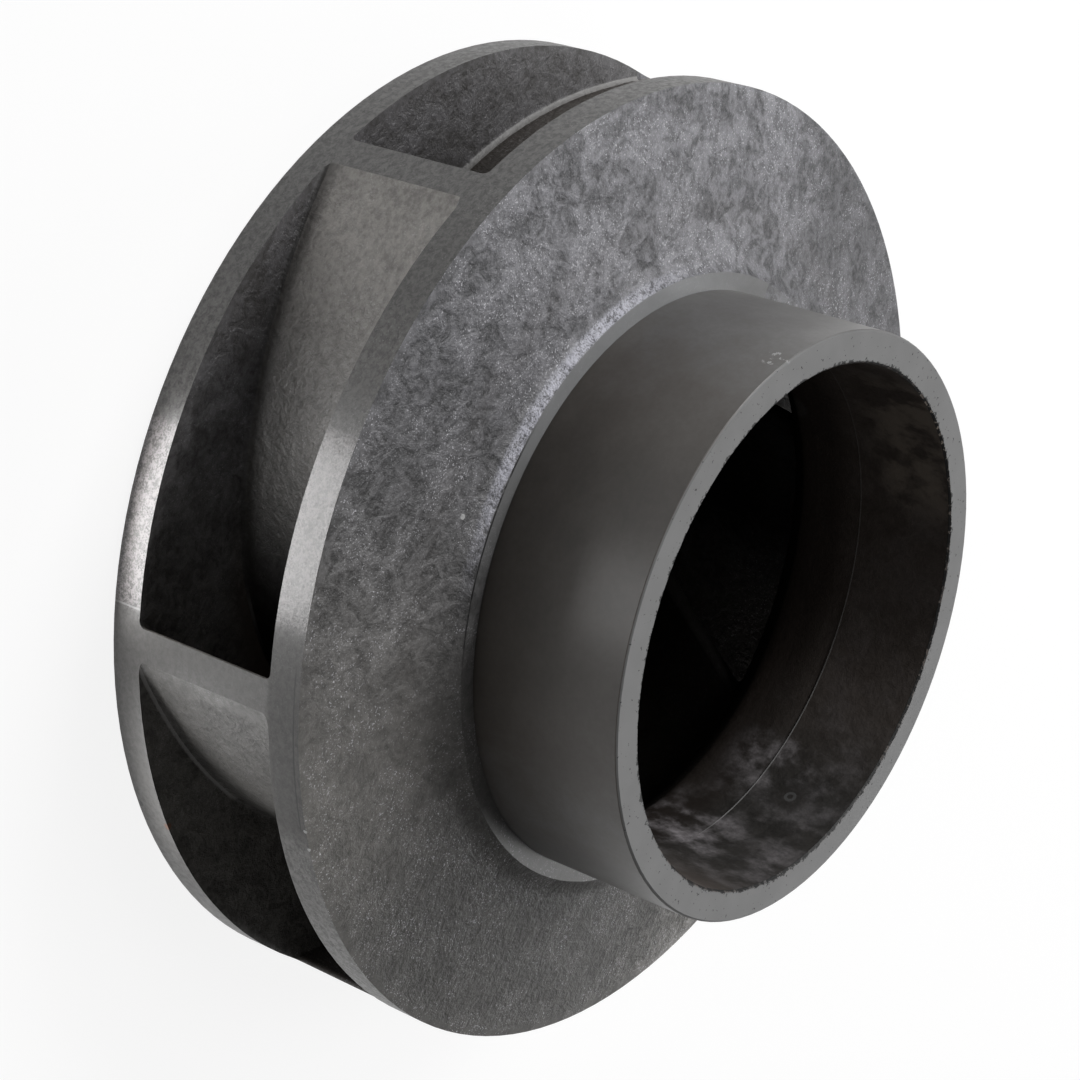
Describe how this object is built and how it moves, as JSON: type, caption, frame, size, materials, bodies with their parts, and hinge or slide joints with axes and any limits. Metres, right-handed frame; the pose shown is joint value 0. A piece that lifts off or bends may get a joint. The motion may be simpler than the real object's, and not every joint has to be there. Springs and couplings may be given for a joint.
{
  "type": "pump impeller",
  "caption": "Closed centrifugal pump impeller with a tall suction neck, a sloping front shroud and backward-curved vanes between its shrouds.",
  "frame": {"origin": "centre of the back face of the rear shroud, where it stands", "axes": "+Z along the shaft axis from the back face to the suction neck's mouth; +Y through the keyway"},
  "size_m": [0.15, 0.15, 0.0666],
  "materials": {
    "moulded_plastic": "dark grey glass-filled plastic, mottled as moulded, smoother where turned"
  },
  "bodies": {
    "root": {"impeller": "moulded_plastic"}
  },
  "joints": []
}
